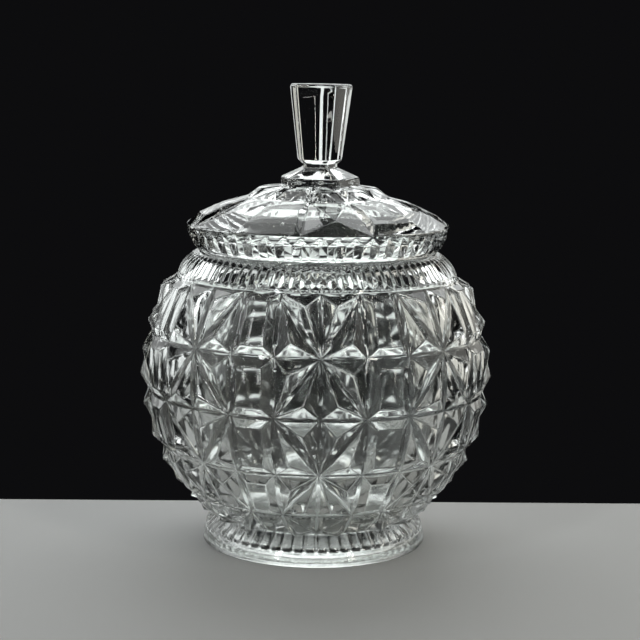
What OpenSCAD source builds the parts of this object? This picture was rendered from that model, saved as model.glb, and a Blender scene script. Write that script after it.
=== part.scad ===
// Pressed-glass candy jar: a round footed bowl, pressed with stars and blocks, and its loose lid.
// The origin is the middle of the foot's underside, +Z is up and -Y is the front.

/* [Foot] */
// Diameter of the foot
foot_d = 103.5; // [98:0.5:120]
// Height of the foot's upright edge
foot_edge_h = 3; // [1.5:0.5:4]
// Width of the plain border between the edge and the ribs
foot_border_w = 2; // [1:0.1:3]
// Height of the plain border between the edge and the ribs
foot_border_h = 4; // [2:0.1:5]
// Number of ribs on the foot
foot_ribs = 60; // [30:1:80]
// Height of the foot's ribs
foot_rib_h = 1; // [0.4:0.1:1.5]
// Width of the ring that stands on the table
foot_ring_w = 6; // [4:0.5:9]
// Depth of the hollow under the foot
foot_hollow_h = 4; // [2:0.5:6]
// Diameter of the waist between foot and bowl
waist_d = 86.8; // [80:0.2:92]
// Height of the waist
waist_h = 12.7; // [11:0.1:16]

/* [Bowl] */
// Widest diameter of the bowl, at the bottom of its grooves
bowl_d = 153.6; // [140:0.2:170]
// Share of the bowl's height, up from the waist, at which it is widest
wide_share = 0.62; // [0.5:0.01:0.72]
// Diameter of the shoulder, where the pattern ends
shoulder_d = 127.5; // [120:0.5:136]
// Thickness of the bowl's wall behind the grooves
wall = 5; // [3:0.5:7]
// Height of the bowl's inner floor
floor_h = 12.5; // [10:0.5:15]

/* [Pattern of stars and blocks] */
// Number of times that star and block repeat round the bowl
repeats = 8; // [6:1:10]
// Height of the top row
row_1_h = 25.6; // [20:0.1:30]
// Height of the second and the third row
row_h = 25.6; // [20:0.1:30]
// Height of the fourth row
row_4_h = 20.6; // [16:0.1:26]
// Height of the lowest row
row_5_h = 12.9; // [10:0.1:18]
// Height of the star's points above the grooves
star_h = 4.2; // [1.5:0.1:5.5]
// Height of the blocks above the grooves
block_h = 2.6; // [1:0.1:3.5]
// Width of the bevel round a block
block_bevel = 4.4; // [2:0.1:6]
// Height of the plain strip between the pattern and the ribbed ring
strip_h = 0.5; // [0.5:0.1:4]

/* [Shoulder and mouth] */
// Inner diameter of the mouth
mouth_d = 97; // [88:0.5:100]
// Thickness of the plain collar round the mouth
collar_t = 5; // [3:0.5:6]
// Height of the collar above the ribbed ring
collar_h = 1.5; // [1:0.1:6]
// Height of the ribbed ring on the shoulder
ring_h = 10.5; // [7:0.5:14]
// Swell of the ring's outline, from a straight slope (0) to a quarter of an ellipse (1)
ring_swell = 0.55; // [0:0.05:1]
// Width of the ledge between the collar and the ribbed ring
ring_ledge = 2.3; // [1:0.1:4]
// Number of ribs on the ring
ring_ribs = 86; // [48:1:100]
// Height of the ring's ribs
ring_rib_h = 1.4; // [0.6:0.1:2]
// Thickness of the glass under the ribbed ring
shoulder_t = 5; // [3:0.5:7]

/* [Lid] */
// How far the lid's rim stands out past the collar
rim_over = 6.1; // [3:0.1:9]
// How far the underside of the lid stands out past the collar
seat_over = 1.4; // [0.2:0.1:2]
// Height of the ribbed band under the rim
band_h = 10.3; // [6:0.1:14]
// Swell of the band's outline, from a straight slope (0) to a quarter of an ellipse (1)
band_swell = 0.5; // [0:0.05:1]
// Number of ribs on the band
band_ribs = 48; // [24:1:72]
// Height of the band's ribs
band_rib_h = 1.2; // [0.5:0.1:2]
// Thickness of the plain rim
rim_h = 1.2; // [0.6:0.1:3]
// Rise of the outer row of the dome
outer_rise = 12.2; // [8:0.1:18]
// Rise of the inner row of the dome
inner_rise = 5.2; // [3:0.1:10]
// Diameter of the groove between the two rows
row_ring_d = 65; // [58:0.5:74]
// Thickness of the dome behind the grooves
lid_wall = 5; // [3:0.5:6]
// Number of sectors round the dome
sectors = 12; // [8:2:16]
// How far the lid is turned on the jar
lid_turn = 21.5; // [0:0.5:360]

/* [Lid pattern] */
// Height of the diamond points in the outer row
diamond_h = 2.9; // [1:0.1:4]
// Share of the outer row, up from the rim, at which a diamond has its point
diamond_place = 0.3; // [0.2:0.05:0.6]
// Height of the panels in the outer row
panel_h = 2.1; // [0.8:0.1:3]
// Width of an outer panel's bevel along the rim
panel_low_bevel = 7; // [3:0.1:9]
// Width of an outer panel's bevel towards the knob
panel_high_bevel = 11; // [3:0.1:13]
// Width of a panel's bevel along its sides
panel_side_bevel = 3.6; // [1.5:0.1:4]
// Height of the inner row's panels where they are thickest
inner_panel_h = 2.5; // [1.2:0.1:3.5]
// Height of the inner row's panels at the knob
inner_back_h = 0.8; // [0.3:0.1:1.2]
// Width of an inner panel's bevel towards the rim
inner_low_bevel = 6.5; // [2:0.1:8]
// Width of an inner panel's bevel towards the knob
inner_high_bevel = 1.5; // [1:0.1:3]
// Width of an inner panel's bevel along its sides
inner_side_bevel = 2.6; // [1:0.1:3]

/* [Knob] */
// Number of faces of the knob
knob_faces = 5; // [4:1:8]
// Radius to the corners of the flange under the knob
flange_r = 19.4; // [16:0.1:24]
// Height of the flange's upright edge
flange_edge_h = 3.6; // [2.5:0.1:6]
// Height of the flange's sloped top
flange_slope_h = 4.4; // [2:0.1:6]
// Radius to the corners of the neck
neck_r = 8.9; // [6:0.1:10]
// Height of the neck
neck_h = 2.1; // [1:0.1:5]
// Radius to the corners of the knob's lower end
knob_low_r = 11; // [10.2:0.1:13]
// Height of the knob's lower bevel
knob_low_bevel_h = 1.4; // [0.5:0.1:3]
// Radius to the corners of the knob's upper end
knob_top_r = 15.4; // [13.5:0.1:20]
// Height of the knob, without its neck
knob_h = 35.5; // [24:0.5:48]
// Bevel along the knob's upper edge
knob_bevel = 0.9; // [0.3:0.1:2]
// How far the knob is turned on the lid
knob_turn = 4; // [0:0.5:72]

/* [Locating ring under the lid] */
// Gap between the ring and the mouth, all round
spigot_gap = 0.75; // [0.3:0.05:1.5]
// Thickness of the ring
spigot_t = 3.2; // [2:0.1:5]
// Depth of the ring below the seat
spigot_h = 5; // [3:0.5:10]
// Narrowing of the lid's hollow from mouth to dome
hollow_draft = 1; // [0.2:0.1:2]

/* [Hidden] */
$fn = 96;
glass = "gainsboro";
eps = 1;

// Heights up the jar
row_heights = [row_5_h, row_4_h, row_h, row_h, row_1_h];
rows = len(row_heights);
function sum_to(list, n) = n == 0 ? 0 : list[n - 1] + sum_to(list, n - 1);
line_z = [for (i = [0 : rows]) waist_h + sum_to(row_heights, i)];
shoulder_z = line_z[rows] + strip_h;
bowl_mid_z = waist_h + wide_share * (shoulder_z - waist_h);
ring_top_z = shoulder_z + ring_h;
seat_z = ring_top_z + collar_h;
columns = 3 * repeats;
cell_steps = 2;
collar_r = mouth_d / 2 + collar_t;

// Heights and radii up the lid
rim_r = collar_r + rim_over;
rim_low_z = seat_z + band_h;
rim_z = rim_low_z + rim_h;
row_ring_z = rim_z + outer_rise;
dome_z = row_ring_z + inner_rise;
dome_r = flange_r * cos(180 / knob_faces) - eps;
sector_steps = 4;

// A point of the plane of radius and height, carried round the axis from the front
function round_axis(p, a) = [p[0] * sin(a), -p[0] * cos(a), p[1]];

// A closed ring of n points through one point of the profile
function ring(p, n) = [for (i = [0 : n - 1]) round_axis(p, i * 360 / n)];

// A closed ring that takes its points from p and q in turn, n of each
function rib_ring(p, q, n) = [for (i = [0 : 2 * n - 1]) round_axis(i % 2 == 0 ? p : q, i * 180 / n)];

// The facets between two rings, which may differ in their number of points
function band(low, high) =
    let (
        n = len(low),
        m = len(high),
        over = function (i) ceil((i + 0.5) * m / n - 0.5) % m,
        under = function (j) floor((j + 0.5) * n / m + 0.5) % n
    )
    concat(
        [for (i = [0 : n - 1]) [low[i], high[over(i)], low[(i + 1) % n]]],
        [for (j = [0 : m - 1]) [low[under(j)], high[j], high[(j + 1) % m]]]
    );

// The facets through a stack of rings
function skin(rings) = [for (i = [0 : len(rings) - 2]) each band(rings[i], rings[i + 1])];
function floor_face(points) = [points];
function top_face(points) = [[for (i = [len(points) - 1 : -1 : 0]) points[i]]];

// A closed solid from its facets
module solid(facets) {
    starts = [for (i = 0, s = 0; i < len(facets); s = s + len(facets[i]), i = i + 1) s];
    polyhedron(
        [for (f = facets) each f],
        [for (i = [0 : len(facets) - 1]) [for (k = [0 : len(facets[i]) - 1]) starts[i] + k]]
    );
}

// Cells of a pattern. A cell is a patch of a surface of revolution: u runs round it, v up it.
function mix(a, b, t) = a + (b - a) * t;
function unit(v) = v / norm(v);

// Points that run once round a cell, clockwise from its lower left corner
function cell_loop(nu, nv) = concat(
    [for (k = [0 : nv - 1]) [0, k / nv]],
    [for (k = [0 : nu - 1]) [k / nu, 1]],
    [for (k = [0 : nv - 1]) [1, 1 - k / nv]],
    [for (k = [0 : nu - 1]) [1 - k / nu, 0]]
);

// Points that run once round a triangle of a cell
function corner_loop(corners, n) = [
    for (i = [0 : len(corners) - 1]) for (k = [0 : n - 1])
        mix(corners[i], corners[(i + 1) % len(corners)], k / n)
];

// Facets from a closed loop of points up to one point
function fan(loop, top) = [for (i = [0 : len(loop) - 1]) [loop[i], loop[(i + 1) % len(loop)], top]];
function turned_over(facets, flip) = flip ? [for (f = facets) [f[0], f[2], f[1]]] : facets;

// The bowl's groove radius at a height, on two elliptical arcs that meet at the widest circle
function bowl_r(z) =
    let (
        wide = bowl_d / 2,
        end_r = z > bowl_mid_z ? shoulder_d / 2 : waist_d / 2,
        end_z = z > bowl_mid_z ? shoulder_z : waist_h,
        t = (z - bowl_mid_z) / (end_z - bowl_mid_z)
    )
    wide * sqrt(1 - (1 - pow(end_r / wide, 2)) * t * t);
function bowl_normal(z) =
    let (dz = 0.01, slope = (bowl_r(z + dz) - bowl_r(z - dz)) / (2 * dz))
    unit([1, -slope]);
function bowl_profile(z, h) = [bowl_r(z), z] + h * bowl_normal(z);

// A point of the bowl's cell in a row and column, h above the grooves
function bowl_point(row, column, uv, h) =
    round_axis(bowl_profile(mix(line_z[row], line_z[row + 1], uv[1]), h), (column + uv[0]) * 360 / columns);

// Width and slant height of a cell of the bowl
function bowl_cell_w(row) = PI * (bowl_r(line_z[row]) + bowl_r(line_z[row + 1])) / columns;
function bowl_cell_h(row) = norm(bowl_profile(line_z[row + 1], 0) - bowl_profile(line_z[row], 0));

// A quarter of a star: two three-sided points either side of the groove from the star's middle.
// Each point stands over the middle of its triangle's inner circle.
function star_cell(row, column) =
    let (
        w = bowl_cell_w(row),
        g = bowl_cell_h(row),
        inner = (w + g - norm([w, g])) / 2,
        side = [inner / w, inner / g],
        flip_u = column % 3 == 2,
        flip_v = row % 2 == 1,
        place = function (uv) [flip_u ? 1 - uv[0] : uv[0], flip_v ? 1 - uv[1] : uv[1]],
        point = function (uv, h) bowl_point(row, column, place(uv), h),
        upper = [for (uv = corner_loop([[0, 0], [0, 1], [1, 1]], cell_steps)) point(uv, 0)],
        lower = [for (uv = corner_loop([[0, 0], [1, 1], [1, 0]], cell_steps)) point(uv, 0)],
        upper_top = point([side[0], 1 - side[1]], star_h),
        lower_top = point([1 - side[0], side[1]], star_h)
    )
    turned_over(concat(fan(upper, upper_top), fan(lower, lower_top)), flip_u != flip_v);

// A raised block with bevelled sides and a flat top, from a loop of points and its four top corners
function block(loop_uv, loop, corners) =
    let (
        n = len(loop),
        low_edge = function (u) mix(corners[0], corners[3], u),
        high_edge = function (u) mix(corners[1], corners[2], u),
        top_at = function (uv) mix(low_edge(uv[0]), high_edge(uv[0]), uv[1]),
        top = [for (uv = loop_uv) top_at(uv)],
        bevel = function (i, k) [[loop[i], loop[k], top[k]], [loop[i], top[k], top[i]]]
    )
    concat([for (i = [0 : n - 1]) each bevel(i, (i + 1) % n)], fan(top, top_at([0.5, 0.5])));

function block_cell(row, column) =
    let (
        loop_uv = cell_loop(cell_steps, cell_steps),
        v = block_bevel / bowl_cell_h(row),
        u_at = function (t) block_bevel * columns / (2 * PI * bowl_r(mix(line_z[row], line_z[row + 1], t))),
        low = u_at(v),
        high = u_at(1 - v),
        corner_uv = [[low, v], [high, 1 - v], [1 - high, 1 - v], [1 - low, v]]
    )
    block(
        loop_uv,
        [for (uv = loop_uv) bowl_point(row, column, uv, 0)],
        [for (uv = corner_uv) bowl_point(row, column, uv, block_h)]
    );

function bowl_cells() = [
    for (row = [0 : rows - 1]) for (column = [0 : columns - 1])
        each (column % 3 == 1 ? block_cell(row, column) : star_cell(row, column))
];

// How far along the radius and the height a swelled outline has come at an angle from 0 to 90
function swelled(a, swell) = [mix(1 - a / 90, cos(a), swell), mix(a / 90, sin(a), swell)];

// Ring on the shoulder: a swelled slope with ribs that run to a point at their lower ends
ring_r = collar_r + ring_ledge;
ring_foot_gap = 1.2;
ring_stations = [18, 42, 66, 80];
function ring_profile(a, h) =
    let (along = swelled(a, ring_swell))
    [
        ring_r + (shoulder_d / 2 - ring_r) * along[0] + h * cos(a),
        shoulder_z + ring_foot_gap + (ring_h - ring_foot_gap) * along[1] + h * sin(a)
    ];

// Foot: upright edge, plain border, then the ribbed slope up to the waist
border_top = [foot_d / 2 - foot_border_w, foot_edge_h + foot_border_h];
waist_gap = 0.8;
foot_slope_end = [waist_d / 2 + waist_gap, waist_h - waist_gap];
foot_normal = let (d = unit(foot_slope_end - border_top)) [d[1], -d[0]];
foot_stations = [0.15, 0.85];
function foot_profile(t, h) = mix(border_top, foot_slope_end, t) + h * foot_normal;

module jar_outside() {
    edge_points = columns * cell_steps;
    foot_rings = concat(
        [for (p = [[foot_d / 2, 0], [foot_d / 2, foot_edge_h], border_top]) ring(p, foot_ribs)],
        [for (t = foot_stations) rib_ring(foot_profile(t, foot_rib_h), foot_profile(t, 0), foot_ribs)],
        [ring(foot_slope_end, foot_ribs), ring([waist_d / 2, waist_h], edge_points)]
    );
    shoulder_rings = concat(
        [ring(bowl_profile(line_z[rows], 0), edge_points), ring([shoulder_d / 2, shoulder_z], edge_points)],
        [ring(ring_profile(0, 0), ring_ribs)],
        [for (a = ring_stations) rib_ring(ring_profile(a, 0), ring_profile(a, -ring_rib_h), ring_ribs)],
        [ring([ring_r, ring_top_z], ring_ribs)]
    );
    solid(concat(
        floor_face(foot_rings[0]),
        skin(foot_rings),
        bowl_cells(),
        skin(shoulder_rings),
        top_face(shoulder_rings[len(shoulder_rings) - 1])
    ));
}

// Smooth inside of the bowl, from its floor to the mouth
module jar_inside() {
    inner_steps = 20;
    under_ring_z = ring_top_z - shoulder_t;
    curve = [for (i = [0 : inner_steps]) bowl_profile(mix(waist_h, shoulder_z, i / inner_steps), -wall)];
    floor_line = [[0, floor_h], [waist_d / 2 - 2 * wall, floor_h]];
    under_ring = [[collar_r, under_ring_z], [mouth_d / 2, under_ring_z + eps]];
    mouth = [[mouth_d / 2, seat_z + eps], [0, seat_z + eps]];
    rotate_extrude() polygon(concat(floor_line, curve, under_ring, mouth));
}

module jar() {
    hollow_r = foot_d / 2 - foot_ring_w;
    color(glass) difference() {
        union() {
            jar_outside();
            translate([0, 0, ring_top_z - eps]) cylinder(r = collar_r, h = collar_h + eps);
        }
        jar_inside();
        translate([0, 0, -eps])
            cylinder(r1 = hollow_r + eps, r2 = hollow_r - foot_hollow_h, h = foot_hollow_h + eps);
    }
}

// A row of the lid's dome is a cone between two circles, cut into sectors
outer_row = [[rim_r, rim_z], [row_ring_d / 2, row_ring_z]];
inner_row = [[row_ring_d / 2, row_ring_z], [dome_r, dome_z]];
function cone_normal(cone) = let (d = unit(cone[1] - cone[0])) [d[1], -d[0]];
function cone_point(cone, column, uv, h) =
    round_axis(mix(cone[0], cone[1], uv[1]) + h * cone_normal(cone), (column + uv[0]) * 360 / sectors);
function sector_loop() = cell_loop(sector_steps, 1);

function diamond_cell(cone, column) =
    fan([for (uv = sector_loop()) cone_point(cone, column, uv, 0)],
        cone_point(cone, column, [0.5, diamond_place], diamond_h));

function panel_cell(cone, column, heights, low_bevel, high_bevel, side_bevel) =
    let (
        slant = norm(cone[1] - cone[0]),
        low = low_bevel / slant,
        high = 1 - high_bevel / slant,
        u_at = function (v) side_bevel * sectors / (2 * PI * mix(cone[0], cone[1], v)[0]),
        low_corner = function (u) cone_point(cone, column, [u, low], heights[0]),
        high_corner = function (u) cone_point(cone, column, [u, high], heights[1])
    )
    block(
        sector_loop(),
        [for (uv = sector_loop()) cone_point(cone, column, uv, 0)],
        [
            low_corner(u_at(low)),
            high_corner(u_at(high)),
            high_corner(1 - u_at(high)),
            low_corner(1 - u_at(low))
        ]
    );

function outer_panel(column) = panel_cell(
    outer_row, column, [panel_h, panel_h], panel_low_bevel, panel_high_bevel, panel_side_bevel
);
function inner_panel(column) = panel_cell(
    inner_row, column, [inner_panel_h, inner_back_h], inner_low_bevel, inner_high_bevel, inner_side_bevel
);
function dome_cells() = [
    for (column = [0 : sectors - 1]) each concat(
        column % 2 == 1 ? diamond_cell(outer_row, column) : outer_panel(column),
        inner_panel(column)
    )
];

// Band under the rim: it curves in to the seat, and each rib ends in a three-cornered facet at the rim
seat_r = collar_r + seat_over;
band_stations = [60, 35, 15];
function band_profile(a, h) =
    let (along = swelled(a, band_swell))
    [seat_r + (rim_r - seat_r) * along[0] + h * cos(a), rim_low_z - band_h * along[1]];

module lid_outside() {
    band_rings = concat(
        [ring([seat_r, seat_z], band_ribs)],
        [for (a = band_stations) rib_ring(band_profile(a, -band_rib_h), band_profile(a, 0), band_ribs)],
        [ring([rim_r, rim_low_z], band_ribs), ring([rim_r, rim_z], sectors * sector_steps)]
    );
    solid(concat(
        floor_face(band_rings[0]),
        skin(band_rings),
        dome_cells(),
        top_face(ring([dome_r, dome_z], sectors * sector_steps))
    ));
}

// Flange, neck and knob, all with the same number of faces and one corner to the front
module knob() {
    slope_z = dome_z + flange_edge_h;
    neck_z = slope_z + flange_slope_h;
    knob_z = neck_z + neck_h;
    wide_z = knob_z + knob_low_bevel_h;
    top_z = knob_z + knob_h;
    levels = [
        [flange_r, row_ring_z],
        [flange_r, slope_z],
        [neck_r, neck_z],
        [neck_r, knob_z],
        [knob_low_r, wide_z],
        [knob_top_r, top_z - knob_bevel],
        [knob_top_r - knob_bevel, top_z]
    ];
    rings = [for (p = levels) ring(p, knob_faces)];
    solid(concat(floor_face(rings[0]), skin(rings), top_face(rings[len(rings) - 1])));
}

// Smooth underside of the dome, open at the locating ring
module lid_inside() {
    hollow_r = mouth_d / 2 - spigot_gap - spigot_t;
    top_r = hollow_r - hollow_draft;
    outer_in = [for (p = outer_row) p - lid_wall * cone_normal(outer_row)];
    inner_in = [for (p = inner_row) p - lid_wall * cone_normal(inner_row)];
    meet = (outer_in[0][0] - top_r) / (outer_in[0][0] - outer_in[1][0]);
    rotate_extrude() polygon([
        [0, seat_z - spigot_h - eps],
        [hollow_r, seat_z - spigot_h - eps],
        mix(outer_in[0], outer_in[1], meet),
        (outer_in[1] + inner_in[0]) / 2,
        inner_in[1],
        [0, inner_in[1][1]]
    ]);
}

module lid() {
    color(glass) rotate([0, 0, lid_turn]) difference() {
        union() {
            lid_outside();
            rotate([0, 0, knob_turn]) knob();
            translate([0, 0, seat_z - spigot_h]) cylinder(r = mouth_d / 2 - spigot_gap, h = spigot_h + eps);
        }
        lid_inside();
    }
}

jar();
lid();
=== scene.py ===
import math

import bmesh
import bpy
from mathutils import Matrix, Vector
from mathutils.geometry import normal as facet_normal


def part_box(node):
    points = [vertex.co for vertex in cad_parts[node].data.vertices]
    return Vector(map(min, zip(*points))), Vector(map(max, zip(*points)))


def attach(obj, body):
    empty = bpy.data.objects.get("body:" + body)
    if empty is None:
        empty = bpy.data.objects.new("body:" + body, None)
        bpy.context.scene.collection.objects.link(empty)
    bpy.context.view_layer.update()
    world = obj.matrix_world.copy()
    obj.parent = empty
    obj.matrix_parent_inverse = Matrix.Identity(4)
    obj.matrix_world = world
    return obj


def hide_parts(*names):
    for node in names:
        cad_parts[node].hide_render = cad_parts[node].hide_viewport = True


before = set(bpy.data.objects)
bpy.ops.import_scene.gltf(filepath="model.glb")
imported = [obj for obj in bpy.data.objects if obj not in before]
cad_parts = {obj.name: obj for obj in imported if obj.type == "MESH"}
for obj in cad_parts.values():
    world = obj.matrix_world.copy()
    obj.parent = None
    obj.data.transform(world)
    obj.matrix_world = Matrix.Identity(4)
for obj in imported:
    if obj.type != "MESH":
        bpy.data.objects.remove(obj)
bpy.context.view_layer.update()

# Sizes are in millimetres and angles in degrees, named as in the part's source. MM turns a size into metres.
# The foot's slope, its hollow and the lid's relief are a little nearer to the photograph than in the source.
MM = 0.001
# Points nearer than this become one
WELD = 0.002
# Above this cosine two edges count as one line
STRAIGHT = 0.99

# Foot
foot_d = 103.5
foot_edge_h = 3
foot_border_w = 1.2
foot_border_h = 3.2
foot_ribs = 60
foot_rib_h = 1
# Shares of the slope: where a rib starts in its middle, how much later at its sides, and its rise and fall
foot_rib_start = 0.06
foot_rib_start_bend = 0.16
foot_rib_rise = 0.1
foot_rib_fall = 0.08
foot_ring_w = 6
hollow_edge_h = 2.2
hollow_h = 6.4
waist_d = 86.8
waist_h = 12.7
slope_top_r = 43.9
slope_top_h = 13.3

# Bowl and its pattern
bowl_d = 153.6
wide_share = 0.62
shoulder_d = 127.5
wall = 5
floor_h = 12.5
repeats = 8
pattern_z = 14.4
row_heights = [11.2, 20.6, 25.6, 25.6, 25.6]
star_h = 4.2
block_h = 2.6
block_bevel = 4.4
strip_h = 0.5

# Shoulder ring and mouth
mouth_d = 97
collar_t = 5
ring_h = 10.5
ring_swell = 0.55
ring_ledge = 2.3
ring_ribs = 86
ring_rib_h = 1.4
ring_foot_gap = 1.2
shoulder_t = 5

# Lid
rim_over = 6.1
seat_over = 1.4
band_h = 10.3
band_swell = 0.5
band_ribs = 48
band_rib_h = 1.2
rim_h = 1.2
outer_rise = 12.2
inner_rise = 5.2
row_ring_d = 65
lid_wall = 5
sectors = 12
lid_turn = 21.5
diamond_h = 2.8
diamond_place = 0.3
panel_h = 1.9
panel_bevels = {"low": 7, "high": 10.5, "side": 3.2}
inner_panel_h = 2.5
inner_back_h = 0.8
inner_bevels = {"low": 6.5, "high": 1.5, "side": 2.6}
spigot_gap = 0.75
spigot_t = 3.2
spigot_h = 5
hollow_draft = 1
# Rounding of the hollow's bends: a width at its top, and shares of the lengths beside each bend
hollow_top_round = 2
top_bend_share = 0.12
bend_share = 0.15
draft_share = 0.25

# Knob
knob_faces = 5
flange_r = 19.4
flange_over = 1
flange_sunk = 2.2
flange_edge_h = 3.6
flange_slope_h = 4.4
neck_r = 8.9
neck_h = 2.1
knob_low_r = 11
knob_low_bevel_h = 1.4
knob_top_r = 15.4
knob_h = 35.5
knob_bevel = 0.9
knob_turn = 4

# Fire polish: how wide the pressed edges are rounded, and how far their lines and points move
groove_w = 1.3
groove_floor = 0.9
groove_lift = 0.5
ridge_w = 0.55
point_drop = 0.16
block_drop = 0.07
lid_groove_w = 0.7
lid_groove_floor = 0.4
lid_groove_lift = 0.12
lid_ridge_w = 0.45
lid_drop = 0.04
crown_shares = [0.25, 0.12, 0.06]
crown_rise = 0.02
crease_w = 0.32
edge_round = 0.6
knob_edge_w = 1.2
knob_corner_drop = 0.37
knob_wear = 0.12
knob_level_w = [0.3, 0.7, 0.5, 0.3, 0.4, 0.35, 0.35]
flat_weight = 60

# Glass. A noise is its scale and detail. A range is what of a noise counts, and what it turns into.
# Depths and fades are in metres. A dullness is a share of the roughness under the foot.
glass_ior = 1.52
glass_tint = (0.975, 0.993, 0.98, 1)
deep_tint = (0.95, 0.977, 0.958, 1)
tint_noise = (14, 2)
wave_noise = (110, 1.5)
wave_depth = 0.001
glass_wave = 0.03
ground_wave = 0.12
skin_noise = (160, 4)
skin_range = (0.45, 0.75, 0, 0.035)
scuff_noise = (900, 3)
scuff_range = (0.42, 0.62, 0.02, 0.16)
scuff_depth = 0.00006
scuff_fade = 0.001
ground_rough = 0.12
jar_dullness = 0.85
ring_dullness = 0.25
lid_dullness = 0.5

# Fineness of the meshes
cell_steps = 4
sector_steps = 8
rib_steps = 8
base_steps = 4
corner_steps = 3
hollow_steps = 10
inner_steps = 48
end_strip = 0.12
round_steps = 192


def mix(a, b, t):
    return a + (b - a) * t


# Places that follow from the sizes
rows = len(row_heights)
columns = 3 * repeats
line_z = [pattern_z + sum(row_heights[:i]) for i in range(rows + 1)]
shoulder_z = line_z[rows] + strip_h
bowl_mid_z = mix(waist_h, shoulder_z, wide_share)
ring_top_z = shoulder_z + ring_h
seat_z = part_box("jar")[1].z / MM
collar_r = mouth_d / 2 + collar_t
ring_r = collar_r + ring_ledge
seat_r = collar_r + seat_over
rim_r = collar_r + rim_over
rim_low_z = seat_z + band_h
rim_z = rim_low_z + rim_h
row_ring_z = rim_z + outer_rise
dome_z = row_ring_z + inner_rise
dome_r = flange_r * math.cos(math.pi / knob_faces) - flange_over


# Points and facets
def flat(radius, height):
    return Vector((radius, height))


def round_axis(p, angle):
    """A point of the plane of radius and height, carried round the axis from the front."""
    a = math.radians(angle)
    return Vector((p[0] * math.sin(a), -p[0] * math.cos(a), p[1]))


def ring(p, count):
    return [round_axis(p, i * 360 / count) for i in range(count)]


def zipped(low, high):
    """The facets between two rings, which may differ in their number of points."""
    n, m = len(low), len(high)
    over = [math.ceil((i + 0.5) * m / n - 0.5) % m for i in range(n)]
    under = [math.floor((j + 0.5) * n / m + 0.5) % n for j in range(m)]
    from_low = [[low[i], high[over[i]], low[(i + 1) % n]] for i in range(n)]
    from_high = [[low[under[j]], high[j], high[(j + 1) % m]] for j in range(m)]
    return from_low + from_high


def turned(profile, count):
    """The facets that a line of the plane of radius and height sweeps round the axis."""
    rings = [ring(p, count) if p[0] > 0 else [round_axis(p, 0)] for p in profile]
    facets = []
    for low, high in zip(rings, rings[1:]):
        for i in range(count):
            k = (i + 1) % count
            corners = [low[i % len(low)], low[k % len(low)], high[k % len(high)], high[i % len(high)]]
            facets.append([p for j, p in enumerate(corners) if p != corners[j - 1]])
    return facets


def arc(centre, radius, start, end, steps):
    """Points of a round corner in the plane of radius and height."""
    angles = [math.radians(mix(start, end, i / steps)) for i in range(steps + 1)]
    return [centre + radius * flat(math.cos(a), math.sin(a)) for a in angles]


def inset(corners, up, widths):
    """A facet's corners moved inwards, from each edge by its own width."""
    count = len(corners)
    moved = []
    for i, corner in enumerate(corners):
        before = up.cross(corner - corners[i - 1]).normalized()
        after = up.cross(corners[(i + 1) % count] - corner).normalized()
        cosine = before.dot(after)
        if cosine > STRAIGHT:
            moved.append(corner + before * widths[i])
            continue
        share = 1 - cosine * cosine
        along_before = (widths[i - 1] - cosine * widths[i]) / share
        along_after = (widths[i] - cosine * widths[i - 1]) / share
        moved.append(corner + before * along_before + after * along_after)
    return moved


def facet_height(corners, up):
    """The least height that a facet has over one of its edges."""
    heights = []
    for i, corner in enumerate(corners):
        inwards = up.cross(corners[(i + 1) % len(corners)] - corner).normalized()
        heights.append(max((p - corner).dot(inwards) for p in corners))
    return min(heights)


def keeps_way(corners, moved):
    """Whether each edge of a facet still runs the same way after its corners have moved."""
    count = len(corners)
    return all((moved[i] - moved[i - 1]).dot(corners[i] - corners[i - 1]) > 0 for i in range(count))


def softened(sharp, worn, widths, floors, out):
    """A facet with rounded edges and a slight crown. out points away from the glass.
    sharp holds its corners as they are cut, and worn as the polish leaves them.
    widths is how far in each edge is rounded, and floors how far in a groove's flat bottom reaches."""
    up = facet_normal(sharp)
    count = len(sharp)
    inner = inset(sharp, up, widths)
    middle = inset(sharp, up, floors)
    facets = [inner]
    room = facet_height(sharp, up) - sum(sorted(widths)[-2:])
    for share in crown_shares:
        crown_w = share * room
        crown = inset(sharp, up, [w + crown_w for w in widths])
        if crown_w > 0 and keeps_way(sharp, crown):
            rise = up * math.copysign(crown_rise * crown_w, up.dot(out))
            crown = [p + rise for p in crown]
            facets = [crown] + [[inner[i - 1], inner[i], crown[i], crown[i - 1]] for i in range(count)]
            break
    for i in range(count):
        k = (i + 1) % count
        if floors[i] < widths[i]:
            facets.append([worn[i], worn[k], middle[k], middle[i]])
            facets.append([middle[i], middle[k], inner[k], inner[i]])
        else:
            strip = [worn[i], worn[k], middle[k], inner[k], inner[i], middle[i]]
            facets.append([p for j, p in enumerate(strip) if (p - strip[j - 1]).length > WELD])
    return facets


def line(a, b, steps):
    return [mix(a, b, i / steps) for i in range(steps)]


def uv(u, v):
    return Vector((u, v))


# Meshes
def mesh_of(name, facets, meshes=()):
    """One welded mesh from facets in millimetres and from finished meshes in metres."""
    bm = bmesh.new()
    for mesh in meshes:
        bm.from_mesh(mesh)
    for facet in facets:
        bm.faces.new([bm.verts.new(p * MM) for p in facet])
    bmesh.ops.remove_doubles(bm, verts=bm.verts, dist=WELD * MM)
    bmesh.ops.dissolve_degenerate(bm, dist=WELD * MM, edges=bm.edges)
    bmesh.ops.recalc_face_normals(bm, faces=bm.faces)
    for face in bm.faces:
        face.smooth = True
    made = bpy.data.meshes.new(name)
    bm.to_mesh(made)
    bm.free()
    return made


def shown(name, mesh):
    piece = bpy.data.objects.new(name, mesh)
    bpy.context.scene.collection.objects.link(piece)
    return piece


def baked(piece):
    """The piece's mesh with its modifiers applied. The piece itself is taken away."""
    name = piece.name
    evaluated = piece.evaluated_get(bpy.context.evaluated_depsgraph_get())
    mesh = bpy.data.meshes.new_from_object(evaluated)
    bpy.data.objects.remove(piece)
    mesh.name = name
    return mesh


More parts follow.
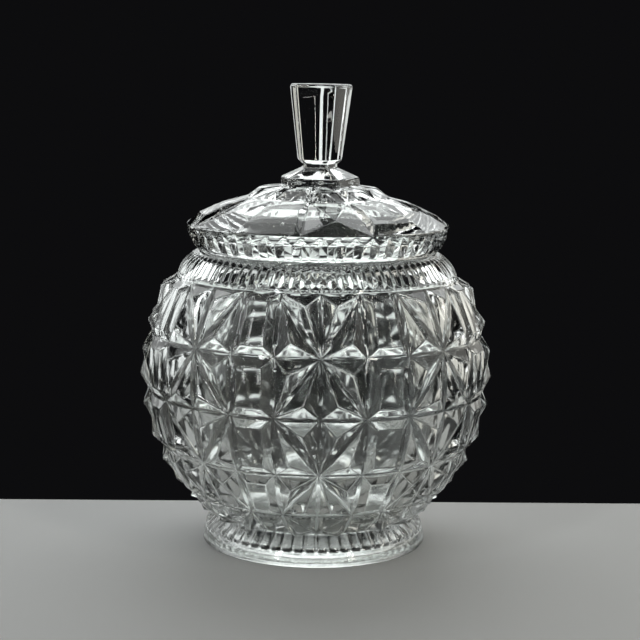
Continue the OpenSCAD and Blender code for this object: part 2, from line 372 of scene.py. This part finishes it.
def repeat_tree():
    """Geometry nodes that repeat a segment round the upright axis and weld the copies to each other."""
    tree = bpy.data.node_groups.new("repeat round the axis", "GeometryNodeTree")
    face = tree.interface
    face.new_socket("Geometry", in_out="INPUT", socket_type="NodeSocketGeometry")
    face.new_socket("Count", in_out="INPUT", socket_type="NodeSocketInt")
    face.new_socket("Weld", in_out="INPUT", socket_type="NodeSocketFloat")
    face.new_socket("Finish", in_out="INPUT", socket_type="NodeSocketMaterial")
    face.new_socket("Geometry", in_out="OUTPUT", socket_type="NodeSocketGeometry")
    made = {}

    def node(name, kind, **settings):
        made[name] = tree.nodes.new(kind)
        for key, value in settings.items():
            setattr(made[name], key, value)
        return made[name]

    def wire(source, output, target, entry):
        tree.links.new(made[source].outputs[output], made[target].inputs[entry])

    node("in", "NodeGroupInput")
    node("points", "GeometryNodePoints")
    node("index", "GeometryNodeInputIndex")
    node("share", "ShaderNodeMath", operation="DIVIDE")
    node("angle", "ShaderNodeMath", operation="MULTIPLY").inputs[1].default_value = math.tau
    node("axis", "ShaderNodeCombineXYZ")
    node("turn", "FunctionNodeEulerToRotation")
    node("copies", "GeometryNodeInstanceOnPoints")
    node("real", "GeometryNodeRealizeInstances")
    node("weld", "GeometryNodeMergeByDistance")
    node("finish", "GeometryNodeSetMaterial")
    node("out", "NodeGroupOutput")
    wire("in", "Count", "points", "Count")
    wire("index", "Index", "share", 0)
    wire("in", "Count", "share", 1)
    wire("share", 0, "angle", 0)
    wire("angle", 0, "axis", "Z")
    wire("axis", 0, "turn", 0)
    wire("points", 0, "copies", "Points")
    wire("in", "Geometry", "copies", "Instance")
    wire("turn", 0, "copies", "Rotation")
    wire("copies", 0, "real", 0)
    wire("real", 0, "weld", 0)
    wire("in", "Weld", "weld", "Distance")
    wire("weld", 0, "finish", "Geometry")
    wire("in", "Finish", "finish", "Material")
    wire("finish", 0, "out", 0)
    return tree


def repeated(name, facets, count, tree, finish):
    """A segment's facets, repeated count times round the axis, as one plain mesh."""
    piece = shown(name, mesh_of(name, facets))
    nodes = piece.modifiers.new("repeat", "NODES")
    nodes.node_group = tree
    inputs = {"Count": count, "Weld": WELD * MM, "Finish": finish}
    for socket in tree.interface.items_tree:
        if socket.in_out == "INPUT" and socket.name in inputs:
            nodes[socket.identifier] = inputs[socket.name]
    return baked(piece)


# Glass
def clear_glass(name, scuffed_below):
    """Clear pressed glass: faint green in its depth, slightly uneven from the mould, with a polished skin.
    The attribute dull marks the side that the plunger pressed and, as 1, the ground underside of the foot.
    Below a height in metres the skin is scuffed by standing on tables."""
    material = bpy.data.materials.new(name)
    material.use_nodes = True
    nodes = material.node_tree.nodes
    links = material.node_tree.links
    shader = nodes["Principled BSDF"]
    shader.inputs["Transmission Weight"].default_value = 1
    shader.inputs["IOR"].default_value = glass_ior
    place = nodes.new("ShaderNodeTexCoord")

    def noise(scale, detail):
        texture = nodes.new("ShaderNodeTexNoise")
        texture.inputs["Scale"].default_value = scale
        texture.inputs["Detail"].default_value = detail
        links.new(place.outputs["Object"], texture.inputs["Vector"])
        return texture.outputs["Fac"]

    def ranged(value, start, end, low, high):
        node = nodes.new("ShaderNodeMapRange")
        for entry, number in zip(("From Min", "From Max", "To Min", "To Max"), (start, end, low, high)):
            node.inputs[entry].default_value = number
        links.new(value, node.inputs["Value"])
        return node.outputs["Result"]

    def combined(kind, a, b):
        node = nodes.new("ShaderNodeMath")
        node.operation = kind
        links.new(a, node.inputs[0])
        links.new(b, node.inputs[1])
        return node.outputs["Value"]

    colour = nodes.new("ShaderNodeMix")
    colour.data_type = "RGBA"
    colour.inputs["A"].default_value = glass_tint
    colour.inputs["B"].default_value = deep_tint
    links.new(noise(*tint_noise), colour.inputs["Factor"])
    links.new(colour.outputs["Result"], shader.inputs["Base Color"])

    height = nodes.new("ShaderNodeSeparateXYZ")
    links.new(place.outputs["Object"], height.inputs["Vector"])
    low_down = ranged(height.outputs["Z"], scuffed_below, scuffed_below - scuff_fade, 0, 1)
    grain = noise(*scuff_noise)
    skin = ranged(noise(*skin_noise), *skin_range)
    scuffs = combined("MULTIPLY", ranged(grain, *scuff_range), low_down)
    dull = nodes.new("ShaderNodeAttribute")
    dull.attribute_name = "dull"
    pressed = ranged(dull.outputs["Fac"], 0, 1, 0, ground_rough)
    links.new(combined("MAXIMUM", combined("MAXIMUM", skin, pressed), scuffs), shader.inputs["Roughness"])

    bump = nodes.new("ShaderNodeBump")
    bump.inputs["Distance"].default_value = wave_depth
    links.new(ranged(dull.outputs["Fac"], 0, 1, glass_wave, ground_wave), bump.inputs["Strength"])
    links.new(noise(*wave_noise), bump.inputs["Height"])
    scuff_bump = nodes.new("ShaderNodeBump")
    scuff_bump.inputs["Distance"].default_value = scuff_depth
    links.new(low_down, scuff_bump.inputs["Strength"])
    links.new(grain, scuff_bump.inputs["Height"])
    links.new(bump.outputs["Normal"], scuff_bump.inputs["Normal"])
    links.new(scuff_bump.outputs["Normal"], shader.inputs["Normal"])
    return material


# Bowl
def bowl_r(z):
    """The bowl's groove radius at a height, on two elliptical arcs that meet at the widest circle."""
    wide = bowl_d / 2
    end_r, end_z = (shoulder_d / 2, shoulder_z) if z > bowl_mid_z else (waist_d / 2, waist_h)
    t = (z - bowl_mid_z) / (end_z - bowl_mid_z)
    return wide * math.sqrt(1 - (1 - (end_r / wide) ** 2) * t * t)


def bowl_profile(z, h):
    dz = 0.01
    slope = (bowl_r(z + dz) - bowl_r(z - dz)) / (2 * dz)
    return flat(bowl_r(z), z) + h * flat(1, -slope).normalized()


def bowl_point(row, column, place, h):
    z = mix(line_z[row], line_z[row + 1], place.y)
    return round_axis(bowl_profile(z, h), (column + place.x) * 360 / columns)


def bowl_cell_size(row):
    low, high = line_z[row], line_z[row + 1]
    width = math.pi * (bowl_r(low) + bowl_r(high)) / columns
    return width, (bowl_profile(high, 0) - bowl_profile(low, 0)).length


def raised_point(point, corners, top, height):
    """A three-sided point: one facet from each edge of a triangle of the cell up to its tip."""
    out = point(top, 1) - point(top, 0)
    facets = []
    for i, corner in enumerate(corners):
        after = corners[(i + 1) % len(corners)]
        edge = line(corner, after, cell_steps) + [after]
        sharp = [point(p, 0) for p in edge] + [point(top, height)]
        worn = [point(p, groove_lift) for p in edge] + [point(top, height - point_drop)]
        ridges = [ridge_w] * 2
        widths = [groove_w] * cell_steps + ridges
        floors = [groove_floor] * cell_steps + ridges
        facets += softened(sharp, worn, widths, floors, out)
    return facets


def star_cell(row, column):
    """A quarter of a star: two points either side of the groove from the star's middle."""
    width, height = bowl_cell_size(row)
    inner = (width + height - math.hypot(width, height)) / 2
    side_u, side_v = inner / width, inner / height
    flip_u = column % 3 == 2
    flip_v = row % 2 == 1

    def point(p, h):
        place = uv(1 - p.x if flip_u else p.x, 1 - p.y if flip_v else p.y)
        return bowl_point(row, column, place, h)

    upper = raised_point(point, [uv(0, 0), uv(0, 1), uv(1, 1)], uv(side_u, 1 - side_v), star_h)
    lower = raised_point(point, [uv(0, 0), uv(1, 1), uv(1, 0)], uv(1 - side_u, side_v), star_h)
    return upper + lower


def raised_block(point, steps, places, heights, polish):
    """A block with a flat top: a bevel from each edge of the cell, and the top.
    places and heights are those of the top's corners, clockwise from the lower left one."""
    cell = [uv(0, 0), uv(0, 1), uv(1, 1), uv(1, 0)]
    ridge = polish["ridge"]
    top = [point(p, h) for p, h in zip(places, heights)]
    top_worn = [point(p, h - polish["drop"]) for p, h in zip(places, heights)]
    out = point(uv(0.5, 0.5), 1) - point(uv(0.5, 0.5), 0)
    facets = softened(top, top_worn, [ridge] * 4, [ridge] * 4, out)
    for i in range(4):
        k = (i + 1) % 4
        count = steps[i % 2]
        edge = line(cell[i], cell[k], count) + [cell[k]]
        sharp = [point(p, 0) for p in edge] + [top[k], top[i]]
        worn = [point(p, polish["lift"](p)) for p in edge] + [top_worn[k], top_worn[i]]
        ridges = [ridge] * 3
        widths = [polish["groove"]] * count + ridges
        floors = [polish["floor"]] * count + ridges
        facets += softened(sharp, worn, widths, floors, out)
    return facets


block_polish = {
    "groove": groove_w, "floor": groove_floor, "ridge": ridge_w, "drop": block_drop,
    "lift": lambda p: groove_lift
}


def block_cell(row, column):
    v = block_bevel / bowl_cell_size(row)[1]

    def side(share):
        return block_bevel * columns / (math.tau * bowl_r(mix(line_z[row], line_z[row + 1], share)))

    low, high = side(v), side(1 - v)
    places = [uv(low, v), uv(high, 1 - v), uv(1 - high, 1 - v), uv(1 - low, v)]
    return raised_block(
        lambda p, h: bowl_point(row, column, p, h),
        (cell_steps, cell_steps), places, [block_h] * 4, block_polish
    )


def bowl_segment():
    """One repeat of the pattern: half a star, a block and the other half, in every row."""
    facets = []
    for row in range(rows):
        facets += star_cell(row, 0) + block_cell(row, 1) + star_cell(row, 2)
    return facets


# Ribs
def rib_segment(profile, stations, count, height):
    """One rib as a grid. profile(t, h) gives radius and height, and height(s, t) the rib's own height
    at the share s of its width. The grid's diagonals follow the creases at the rib's end."""
    def point(i, t):
        s = i / rib_steps
        return round_axis(profile(t, height(s, t)), s * 360 / count)

    facets = []
    for low, high in zip(stations, stations[1:]):
        for i in range(rib_steps):
            a, b = point(i, low), point(i + 1, low)
            c, d = point(i + 1, high), point(i, high)
            if i < rib_steps / 2:
                facets += [[a, b, c], [a, c, d]]
            else:
                facets += [[a, b, d], [b, c, d]]
    return facets


def spread(start, end, steps):
    return [mix(start, end, i / steps) for i in range(steps + 1)]


def rib_line(rib, t, turn=0):
    """Points across a creased rib: worn ones on its creases, and sharp ones on the facets beside them.
    The rib's edge lies at the share edge(t) of its width, with plain glass outside it."""
    e = rib["crease"]
    edge = rib["edge"](t)
    outside = max(0, edge - e)
    inside = min(edge + e, 0.5 - e)

    def at(share, h):
        return round_axis(rib["profile"](t, h), (share + turn) * 360 / rib["count"])

    def sharp(share):
        return rib["height"](share, t)

    side = (sharp(0) + sharp(e)) / 2
    middle = (sharp(0.5) + sharp(0.5 - e)) / 2
    half = [(0, side), (outside, sharp(outside) if outside else side), (inside, sharp(inside))]
    half.append((0.5 - e, sharp(0.5 - e)))
    other = [(1 - share, h) for share, h in reversed(half)]
    return [at(share, h) for share, h in half + [(0.5, middle)] + other]


def rib_end_ring(rib, t):
    return [p for turn in range(rib["count"]) for p in rib_line(rib, t, turn)[:-1]]


def creased_rib(rib):
    """Two facets that meet along the rib's middle, closed at its start by a three-cornered facet."""
    e = rib["crease"]
    end = rib["stations"][0]

    def at(share, t):
        return round_axis(rib["profile"](t, rib["height"](share, t)), share * 360 / rib["count"])

    lines = [rib_line(rib, t) for t in rib["stations"]]
    facets = []
    for low, high in zip(lines, lines[1:]):
        for i in range(len(low) - 1):
            facets.append([low[i], low[i + 1], high[i + 1], high[i]])

    inset = end_strip * end
    from_side = end_strip / 2 + e
    shares = spread(0, 1, base_steps)
    base = [at(share, 0) for share in shares]
    base_in = [at(mix(from_side, 1 - from_side, share), inset) for share in shares]
    tip_in = at(0.5, end * (1 - 2 * e))
    first = lines[0]
    tip = first[4]
    for i in range(base_steps):
        facets.append([base[i], base[i + 1], base_in[i + 1], base_in[i]])
    facets.append(base_in + [tip_in])
    for corner, corner_in, edge, beside, by_tip, side_in in (
        (base[0], base_in[0], first[0], first[2], first[3], at(e, 4 * end * e)),
        (base[-1], base_in[-1], first[8], first[6], first[5], at(1 - e, 4 * end * e))
    ):
        facets.append([corner, corner_in, tip_in, tip])
        facets.append([corner, tip, by_tip, side_in])
        facets.append([side_in, by_tip, beside])
        facets.append([corner, side_in, beside, edge])
    return facets


def swelled(angle, swell):
    """How far along the radius and the height a swelled outline has come at an angle from 0 to 90."""
    a = math.radians(angle)
    return mix(1 - angle / 90, math.cos(a), swell), mix(angle / 90, math.sin(a), swell)


# Shoulder ring: a swelled slope. Its grooves run from a three-cornered facet above the bowl to a round tip.
ring_end = 13
ring_tip = [69, 88.5]
ring_tip_stations = [73, 77, 80, 82.5, 84.5, 86, 87.5, 88.5, 90]


def ring_profile(angle, h):
    a = math.radians(angle)
    along, up = swelled(angle, ring_swell)
    return flat(
        ring_r + (shoulder_d / 2 - ring_r) * along + h * math.cos(a),
        shoulder_z + ring_foot_gap + (ring_h - ring_foot_gap) * up + h * math.sin(a)
    )


def ring_edge(angle):
    along_tip = min(1, max(0, (angle - ring_tip[0]) / (ring_tip[1] - ring_tip[0])))
    return (1 - math.sqrt(1 - along_tip ** 2)) / 2


def ring_groove(s, angle):
    across = 1 - abs(2 * s - 1)
    ending = min(1, angle / ring_end)
    return -ring_rib_h * max(0, min(across, ending) - 2 * ring_edge(angle))


ring_rib = {
    "profile": ring_profile, "height": ring_groove, "edge": ring_edge, "count": ring_ribs,
    "crease": crease_w * ring_ribs / (math.pi * shoulder_d),
    "stations": spread(ring_end, ring_tip[0], 7) + ring_tip_stations
}


# Band under the lid's rim: it curves in to the seat, and each rib ends in a three-cornered facet
band_end = 20
band_low = 76


def band_profile(angle, h):
    along, down = swelled(angle, band_swell)
    out = h * math.cos(math.radians(angle))
    return flat(seat_r + (rim_r - seat_r) * along + out, rim_low_z - band_h * down)


def band_ridge(s, angle):
    ending = min(1, angle / band_end)
    return -band_rib_h * max(0, abs(2 * s - 1) - (1 - ending))


band_rib = {
    "profile": band_profile, "height": band_ridge, "edge": lambda angle: 0, "count": band_ribs,
    "crease": crease_w * band_ribs / (math.tau * rim_r),
    "stations": spread(band_end, band_low, 8) + [90]
}


# Foot: ribs like bars with rounded ends on the slope between border and waist
border_top = flat(foot_d / 2 - foot_border_w, foot_edge_h + foot_border_h)
foot_slope_end = flat(slope_top_r, slope_top_h)
foot_stations = [0, 0.06, 0.11, 0.16, 0.22, 0.3, 0.5, 0.75, 0.86, 0.94, 1]


def foot_profile(t, h):
    along = (foot_slope_end - border_top).normalized()
    return mix(border_top, foot_slope_end, t) + h * flat(along.y, -along.x)


def foot_rib(s, t):
    across = abs(2 * s - 1)
    start = foot_rib_start + foot_rib_start_bend * across ** 3
    rise = min(1, max(0, (t - start) / foot_rib_rise))
    fall = min(1, max(0, (1 - t) / foot_rib_fall))
    return foot_rib_h * (1 - across ** 6) * math.sqrt(rise) * math.sqrt(fall)


# Jar
def jar_underside():
    """From the middle of the domed hollow, over the ring that stands on the table, to the border's top."""
    ring_in = foot_d / 2 - foot_ring_w
    dome_edge = ring_in - hollow_edge_h
    radii = spread(0, dome_edge - edge_round, hollow_steps)
    dome = [flat(r, mix(hollow_h, hollow_edge_h, (r / dome_edge) ** 2)) for r in radii]
    corner = flat(foot_d / 2 - edge_round, edge_round)
    low_edge = arc(corner, edge_round, -90, 0, corner_steps)
    border_edge = flat(foot_d / 2, foot_edge_h)
    slope = (border_top - border_edge).normalized()
    return [
        *dome,
        flat(dome_edge + edge_round, hollow_edge_h - edge_round),
        flat(ring_in - edge_round, edge_round),
        flat(ring_in + edge_round, 0),
        *low_edge,
        border_edge - flat(0, edge_round),
        border_edge + slope * edge_round,
        border_top - slope * edge_round,
        border_top
    ]


def jar_inside():
    """Ledge, collar, mouth and the smooth inside, from the ribbed ring to the middle of the floor."""
    under_ring_z = ring_top_z - shoulder_t
    mouth_r = mouth_d / 2
    lip = flat(collar_r - edge_round, seat_z - edge_round)
    inner_lip = flat(mouth_r + edge_round, seat_z - edge_round)
    curve = [bowl_profile(z, -wall) for z in spread(waist_h, shoulder_z, inner_steps)]
    upper = [
        flat(ring_r - edge_round, ring_top_z),
        flat(collar_r + edge_round, ring_top_z),
        flat(collar_r, ring_top_z + edge_round),
        *arc(lip, edge_round, 0, 90, corner_steps),
        *arc(inner_lip, edge_round, 90, 180, corner_steps),
        flat(mouth_r, under_ring_z + 3 * edge_round),
        flat(mouth_r + edge_round, under_ring_z + edge_round),
        flat(collar_r, under_ring_z)
    ]
    floor_r = waist_d / 2 - 2 * wall
    low = [p for p in reversed(curve) if p.y > floor_h + edge_round]
    floor = [flat(floor_r, floor_h + edge_round / 2), flat(floor_r - wall, floor_h), flat(0, floor_h)]
    return upper + low + floor


def jar_mesh(tree, finish):
    foot_count = foot_ribs * rib_steps
    edge_count = columns * cell_steps
    inside = jar_inside()
    top_line = ring(bowl_profile(line_z[rows], groove_lift), edge_count)
    shoulder = ring(flat(shoulder_d / 2 + groove_lift / 2, shoulder_z), edge_count)
    waist = ring(bowl_profile(line_z[0], groove_lift), edge_count)
    facets = turned(jar_underside(), foot_count)
    facets += zipped(ring(foot_slope_end, foot_count), waist)
    facets += zipped(top_line, shoulder)
    facets += zipped(shoulder, ring(ring_profile(0, 0), ring_ribs * base_steps))
    facets += zipped(rib_end_ring(ring_rib, 90), ring(inside[0], round_steps))
    facets += turned(inside, round_steps)
    foot_bar = rib_segment(foot_profile, foot_stations, foot_ribs, foot_rib)
    return mesh_of("jar", facets, [
        repeated("foot ribs", foot_bar, foot_ribs, tree, finish),
        repeated("bowl pattern", bowl_segment(), repeats, tree, finish),
        repeated("ring ribs", creased_rib(ring_rib), ring_ribs, tree, finish)
    ])


# Lid
outer_row = [flat(rim_r, rim_z), flat(row_ring_d / 2, row_ring_z)]
inner_row = [flat(row_ring_d / 2, row_ring_z), flat(dome_r, dome_z)]


def cone_normal(cone):
    along = (cone[1] - cone[0]).normalized()
    return flat(along.y, -along.x)


def row_normal(cone, v):
    """Where the two rows meet, both take the direction halfway between them."""
    at_ring = v == 1 if cone is outer_row else v == 0
    return (cone_normal(outer_row) + cone_normal(inner_row)).normalized() if at_ring else cone_normal(cone)


def cone_point(cone, column, place, h):
    p = mix(cone[0], cone[1], place.y) + h * row_normal(cone, place.y)
    return round_axis(p, (column + place.x) * 360 / sectors)


def rim_lift(place):
    """The rim is an edge, not a groove, so the polish lowers it."""
    return -lid_groove_lift / 2 if place.y == 0 else lid_groove_lift


lid_polish = {
    "groove": lid_groove_w, "floor": lid_groove_floor, "ridge": lid_ridge_w, "drop": lid_drop,
    "lift": rim_lift
}
inner_polish = dict(lid_polish, lift=lambda p: lid_groove_lift)


def diamond_cell(column):
    def point(p, h):
        return cone_point(outer_row, column, p, h)

    cell = [uv(0, 0), uv(0, 1), uv(1, 1), uv(1, 0)]
    top = uv(0.5, diamond_place)
    out = point(top, 1) - point(top, 0)
    facets = []
    for i in range(4):
        steps = sector_steps if i % 2 else 1
        edge = line(cell[i], cell[(i + 1) % 4], steps) + [cell[(i + 1) % 4]]
        sharp = [point(p, 0) for p in edge] + [point(top, diamond_h)]
        worn = [point(p, rim_lift(p)) for p in edge] + [point(top, diamond_h - lid_drop)]
        ridges = [lid_ridge_w] * 2
        widths = [lid_groove_w] * steps + ridges
        floors = [lid_groove_floor] * steps + ridges
        facets += softened(sharp, worn, widths, floors, out)
    return facets


def panel_cell(cone, column, heights, bevels, polish):
    slant = (cone[1] - cone[0]).length
    low, high = bevels["low"] / slant, 1 - bevels["high"] / slant

    def side(v):
        return bevels["side"] * sectors / (math.tau * mix(cone[0], cone[1], v).x)

    places = [uv(side(low), low), uv(side(high), high), uv(1 - side(high), high), uv(1 - side(low), low)]
    corner_heights = [heights[0], heights[1], heights[1], heights[0]]
    return raised_block(
        lambda p, h: cone_point(cone, column, p, h), (1, sector_steps), places, corner_heights, polish
    )


def dome_segment():
    """Two sectors of the dome: a panel and a diamond in the outer row, two panels in the inner row."""
    facets = panel_cell(outer_row, 0, [panel_h, panel_h], panel_bevels, lid_polish) + diamond_cell(1)
    for column in range(2):
        facets += panel_cell(inner_row, column, [inner_panel_h, inner_back_h], inner_bevels, inner_polish)
    return facets


def lid_underside():
    """From the middle of the hollow down round the locating ring and out to the band."""
    mouth_r = mouth_d / 2
    outer_r = mouth_r - spigot_gap
    hollow_r = outer_r - spigot_t
    top_r = hollow_r - hollow_draft
    low_z = seat_z - spigot_h
    outer_in = [p - lid_wall * cone_normal(outer_row) for p in outer_row]
    inner_in = [p - lid_wall * cone_normal(inner_row) for p in inner_row]
    meet = mix(outer_in[0], outer_in[1], (outer_in[0].x - top_r) / (outer_in[0].x - outer_in[1].x))
    bend = (outer_in[1] + inner_in[0]) / 2
    top = inner_in[1]
    return [
        flat(0, top.y),
        top - flat(hollow_top_round, 0),
        mix(top, bend, top_bend_share),
        mix(top, bend, 1 - bend_share),
        mix(bend, meet, bend_share),
        mix(bend, meet, 1 - bend_share),
        meet - flat(edge_round / 2, edge_round),
        mix(meet, flat(hollow_r, low_z), draft_share),
        flat(hollow_r, low_z + edge_round),
        flat(hollow_r + edge_round, low_z),
        *arc(flat(outer_r - edge_round, low_z + edge_round), edge_round, -90, 0, corner_steps),
        flat(outer_r, seat_z - edge_round),
        flat(outer_r + edge_round, seat_z),
        flat(seat_r - edge_round, seat_z)
    ]


def knob_mesh():
    slope_z = dome_z + flange_edge_h
    neck_z = slope_z + flange_slope_h
    knob_z = neck_z + neck_h
    top_z = knob_z + knob_h
    levels = [
        flat(flange_r, dome_z - flange_sunk),
        flat(flange_r, slope_z),
        flat(neck_r, neck_z),
        flat(neck_r, knob_z),
        flat(knob_low_r, knob_z + knob_low_bevel_h),
        flat(knob_top_r, top_z - knob_bevel),
        flat(knob_top_r - knob_bevel, top_z)
    ]
    ends = [levels[0] - flat(0, 1)] + levels + [levels[-1] - flat(1, 0)]
    worn_levels = []
    for before, level, after in zip(ends, levels, ends[2:]):
        bend = (before - level).normalized() + (after - level).normalized()
        worn_levels.append(level + knob_wear * bend - flat(knob_corner_drop, 0))
    sharp = [ring(p, knob_faces) for p in levels]
    worn = [ring(p, knob_faces) for p in worn_levels]
    facets = []
    for i in range(len(levels) - 1):
        for k in range(knob_faces):
            n = (k + 1) % knob_faces
            corners = [sharp[i][k], sharp[i][n], sharp[i + 1][n], sharp[i + 1][k]]
            worn_corners = [worn[i][k], worn[i][n], worn[i + 1][n], worn[i + 1][k]]
            widths = [knob_level_w[i], knob_edge_w, knob_level_w[i + 1], knob_edge_w]
            out = Vector((*(corners[0] + corners[1]).xy, 0))
            facets += softened(corners, worn_corners, widths, widths, out)
    widths = [knob_level_w[-1]] * knob_faces
    facets += softened(sharp[-1], worn[-1], widths, widths, Vector((0, 0, 1)))
    facets.append(worn[0])
    made = mesh_of("knob", facets)
    made.transform(Matrix.Rotation(math.radians(knob_turn), 4, "Z"))
    return made


def lid_mesh(tree, finish):
    rim_count = band_ribs * base_steps
    dome_count = sectors * sector_steps
    underside = lid_underside()
    rim_edge = outer_row[0] + rim_lift(uv(0, 0)) * cone_normal(outer_row)
    rim_top = flat(rim_r, rim_z - edge_round / 2)
    dome_top = ring(inner_row[1] + lid_groove_lift * cone_normal(inner_row), dome_count)
    facets = turned(underside, round_steps)
    facets += zipped(ring(underside[-1], round_steps), rib_end_ring(band_rib, 90))
    facets += turned([flat(rim_r, rim_low_z), rim_top], rim_count)
    facets += zipped(ring(rim_top, rim_count), ring(rim_edge, dome_count))
    facets.append(dome_top)
    body = mesh_of("lid", facets, [
        repeated("band ribs", creased_rib(band_rib), band_ribs, tree, finish),
        repeated("dome pattern", dome_segment(), sectors // 2, tree, finish)
    ])
    piece = shown("lid", body)
    knob = shown("knob", knob_mesh())
    union = piece.modifiers.new("knob", "BOOLEAN")
    union.operation = "UNION"
    union.solver = "EXACT"
    union.object = knob
    joined = baked(piece)
    bpy.data.objects.remove(knob)
    joined.transform(Matrix.Rotation(math.radians(lid_turn), 4, "Z"))
    return joined


def dullness(face):
    """How dull a face of the jar or the lid is: 1 under the foot, less where the plunger pressed, else 0."""
    near = 1
    ring_inside_h = 2
    centre = face.center / MM
    out = face.normal.xy.dot(centre.xy.normalized())
    faces_down = face.normal.z < -0.3
    faces_in = out < -0.05
    if centre.z < hollow_h + near and faces_down:
        return 1
    if centre.z > seat_z - spigot_h - near and centre.xy.length < mouth_d / 2 - spigot_gap + near:
        under = centre.z < dome_z - lid_wall / 2 and (faces_down or out < -0.2)
        return lid_dullness if under else 0
    if centre.z > shoulder_z - ring_inside_h:
        return ring_dullness if faces_in else 0
    on_floor = face.normal.z > 0.7 and abs(centre.z - floor_h) < near
    return jar_dullness if faces_in or on_floor else 0


def finished(name, mesh, finish):
    """A glass piece with smooth shading that keeps its large facets flat."""
    mesh.materials.clear()
    mesh.materials.append(finish)
    dull = mesh.attributes.new("dull", "FLOAT", "FACE")
    for face in mesh.polygons:
        face.use_smooth = True
        face.material_index = 0
        dull.data[face.index].value = dullness(face)
    piece = shown(name, mesh)
    even = piece.modifiers.new("even", "WEIGHTED_NORMAL")
    even.mode = "FACE_AREA"
    even.weight = flat_weight
    return shown(name, baked(piece))


def glassware():
    tree = repeat_tree()
    jar_glass = clear_glass("jar glass", (foot_edge_h + foot_border_h) * MM)
    lid_glass = clear_glass("lid glass", 0)
    jar = finished("jar_glass", jar_mesh(tree, jar_glass), jar_glass)
    lid = finished("lid_glass", lid_mesh(tree, lid_glass), lid_glass)
    for piece, node in ((jar, "jar"), (lid, "lid")):
        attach(piece, node)
        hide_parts(node)


# Studio
def plain(name, colour, roughness):
    material = bpy.data.materials.new(name)
    material.use_nodes = True
    shader = material.node_tree.nodes["Principled BSDF"]
    shader.inputs["Base Color"].default_value = colour
    shader.inputs["Roughness"].default_value = roughness
    return material


def studio():
    """A pale table top that ends behind the jar, dark beyond it, large soft lamps behind, beside and above,
    and two tall narrow ones in front."""
    half_w, front, back, top_z = 230, -280, 60, -0.2
    corners = [(-half_w, front), (half_w, front), (half_w, back), (-half_w, back)]
    floor = shown("floor", mesh_of("floor", [[Vector((x, y, top_z)) for x, y in corners]]))
    floor.data.materials.append(plain("pale floor", (0.45, 0.45, 0.445, 1), 0.7))
    world = bpy.data.worlds.new("studio")
    world.use_nodes = True
    world.node_tree.nodes["Background"].inputs["Color"].default_value = (0.004, 0.004, 0.0045, 1)
    bpy.context.scene.world = world

    aim = Vector((0, 0, 0.1))
    cool = (0.97, 1, 1)
    warm = (1, 0.98, 0.9)
    # Place and size in metres, brightness and colour
    softboxes = {
        "back softbox": ((0, 0.7, 0.62), (1.4, 0.58), 1.6, cool),
        "low back softbox": ((0, 0.85, 0.23), (0.36, 0.34), 0.95, cool),
        "back left softbox": ((-0.68, 0.55, 0.28), (0.5, 0.5), 1, cool),
        "back right softbox": ((0.68, 0.55, 0.28), (0.5, 0.5), 0.85, warm),
        "left softbox": ((-0.9, 0, 0.4), (0.9, 0.9), 0.8, cool),
        "right softbox": ((0.9, 0, 0.4), (0.9, 0.9), 0.65, warm),
        "top softbox": ((0, 0.42, 0.9), (0.8, 0.5), 1.6, cool),
        "front left strip": ((-0.5, -0.66, 0.45), (0.05, 0.9), 16, cool),
        "front right strip": ((0.5, -0.66, 0.45), (0.05, 0.9), 16, warm)
    }
    for name, (place, size, brightness, colour) in softboxes.items():
        lamp = bpy.data.lights.new(name, "AREA")
        lamp.shape = "RECTANGLE"
        lamp.size, lamp.size_y = size
        lamp.energy = brightness * math.pi * size[0] * size[1]
        lamp.color = colour
        box = bpy.data.objects.new(name, lamp)
        bpy.context.scene.collection.objects.link(box)
        box.location = place
        box.rotation_euler = (aim - Vector(place)).to_track_quat("-Z", "Y").to_euler()
        box.visible_camera = False


def camera():
    """Stands a little left of the front, above the lid, and is held slightly turned, as in the photograph."""
    place = (-0.02037, -0.73652, 0.2174)
    yaw, pitch, roll = 1.71, 8.876, 0.865
    data = bpy.data.cameras.new("camera")
    data.sensor_width = 36
    data.lens = 91.02
    data.clip_start, data.clip_end = 0.01, 50
    view = bpy.data.objects.new("camera", data)
    bpy.context.scene.collection.objects.link(view)
    view.matrix_world = (
        Matrix.Translation(place)
        @ Matrix.Rotation(math.radians(-yaw), 4, "Z")
        @ Matrix.Rotation(math.radians(90 - pitch), 4, "X")
        @ Matrix.Rotation(math.radians(roll), 4, "Z")
    )
    bpy.context.scene.camera = view


camera()
glassware()
studio()
bpy.context.scene.view_settings.view_transform = "Standard"
